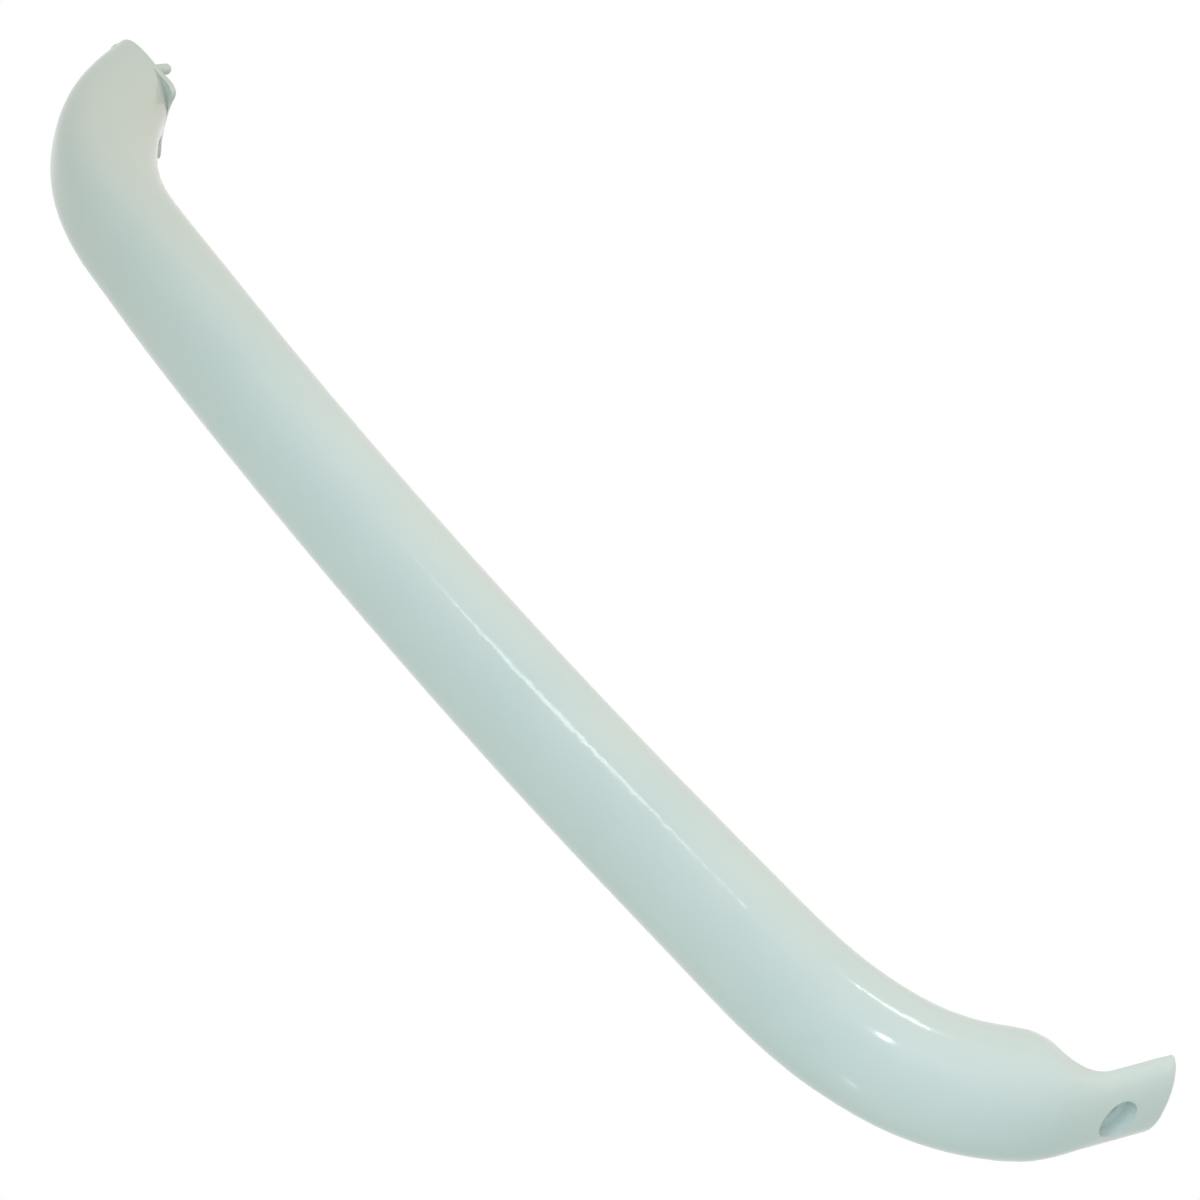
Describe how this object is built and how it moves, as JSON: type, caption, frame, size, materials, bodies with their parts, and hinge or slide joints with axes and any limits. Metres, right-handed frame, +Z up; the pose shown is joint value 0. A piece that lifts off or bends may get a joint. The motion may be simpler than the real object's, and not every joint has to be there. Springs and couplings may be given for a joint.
{
  "type": "refrigerator door handle",
  "caption": "Moulded refrigerator door handle: bowed round grip, top tongue with a recessed screw hole over the door's edge, curved foot with locating pegs.",
  "frame": {"origin": "middle of the screw hole on the underside of the top tongue", "axes": "X across the handle, +Y from the door's front into the door, +Z up along the grip; the door's front plane is at Y = -10.5 mm and its upper edge at Z = 0"},
  "size_m": [0.0282, 0.0764, 0.4027],
  "materials": {
    "moulding": "glossy pale greenish-white ABS, as moulded"
  },
  "bodies": {
    "root": {"handle": "moulding"}
  },
  "joints": []
}
